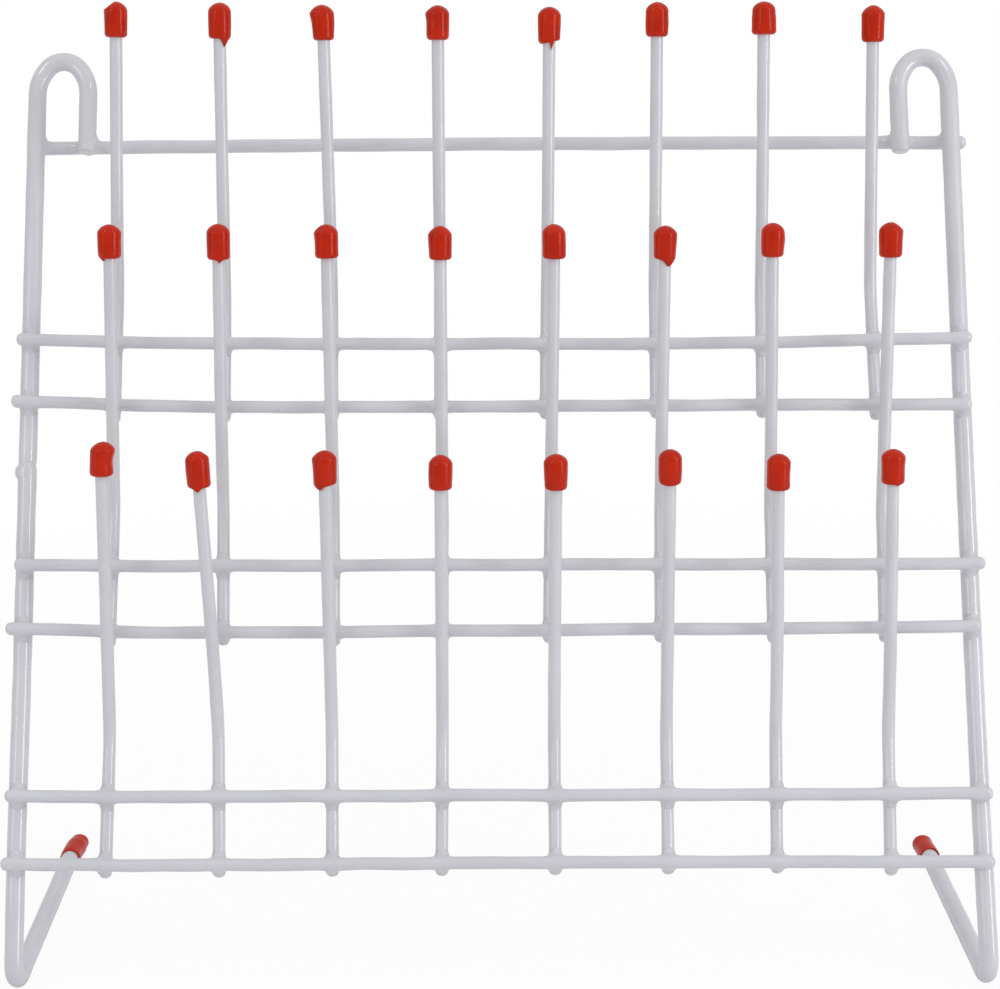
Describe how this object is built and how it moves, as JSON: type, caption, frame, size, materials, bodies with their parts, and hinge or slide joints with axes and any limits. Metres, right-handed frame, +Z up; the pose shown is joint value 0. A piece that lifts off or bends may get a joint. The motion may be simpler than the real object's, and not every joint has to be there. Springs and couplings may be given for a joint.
{
  "type": "drying pegboard rack",
  "caption": "Leaning coated-wire drying rack with tiers of forward-bent capped pegs, two hook loops for hanging and two feet for standing.",
  "frame": {"origin": "on the bench under the middle of the rack, halfway between the front of the foot bends and the back of the hook loops", "axes": "+X to the right seen from the front, -Y to the front where the pegs point, +Z up"},
  "size_m": [0.3686, 0.1466, 0.3537],
  "materials": {
    "white_coating": "glossy white plastic dip coating over steel wire, with soft thickened fillets at the welds",
    "red_vinyl": "glossy orange-red dip-moulded vinyl"
  },
  "bodies": {
    "root": {"left_side_frame": "white_coating", "right_side_frame": "white_coating", "top_rail": "white_coating", "bottom_tier_lower_rail": "white_coating", "middle_tier_lower_rail": "white_coating", "top_tier_lower_rail": "white_coating", "bottom_tier_upper_rail": "white_coating", "middle_tier_upper_rail": "white_coating", "top_tier_upper_rail": "white_coating", "bottom_peg_1": "white_coating", "bottom_peg_2": "white_coating", "bottom_peg_3": "white_coating", "bottom_peg_4": "white_coating", "bottom_peg_5": "white_coating", "bottom_peg_6": "white_coating", "bottom_peg_7": "white_coating", "bottom_peg_8": "white_coating", "middle_peg_1": "white_coating", "middle_peg_2": "white_coating", "middle_peg_3": "white_coating", "middle_peg_4": "white_coating", "middle_peg_5": "white_coating", "middle_peg_6": "white_coating", "middle_peg_7": "white_coating", "middle_peg_8": "white_coating", "top_peg_1": "white_coating", "top_peg_2": "white_coating", "top_peg_3": "white_coating", "top_peg_4": "white_coating", "top_peg_5": "white_coating", "top_peg_6": "white_coating", "top_peg_7": "white_coating", "top_peg_8": "white_coating", "bottom_cap_1": "red_vinyl", "bottom_cap_2": "red_vinyl", "bottom_cap_3": "red_vinyl", "bottom_cap_4": "red_vinyl", "bottom_cap_5": "red_vinyl", "bottom_cap_6": "red_vinyl", "bottom_cap_7": "red_vinyl", "bottom_cap_8": "red_vinyl", "middle_cap_1": "red_vinyl", "middle_cap_2": "red_vinyl", "middle_cap_3": "red_vinyl", "middle_cap_4": "red_vinyl", "middle_cap_5": "red_vinyl", "middle_cap_6": "red_vinyl", "middle_cap_7": "red_vinyl", "middle_cap_8": "red_vinyl", "top_cap_1": "red_vinyl", "top_cap_2": "red_vinyl", "top_cap_3": "red_vinyl", "top_cap_4": "red_vinyl", "top_cap_5": "red_vinyl", "top_cap_6": "red_vinyl", "top_cap_7": "red_vinyl", "top_cap_8": "red_vinyl", "left_foot_cap": "red_vinyl", "right_foot_cap": "red_vinyl"}
  },
  "joints": []
}
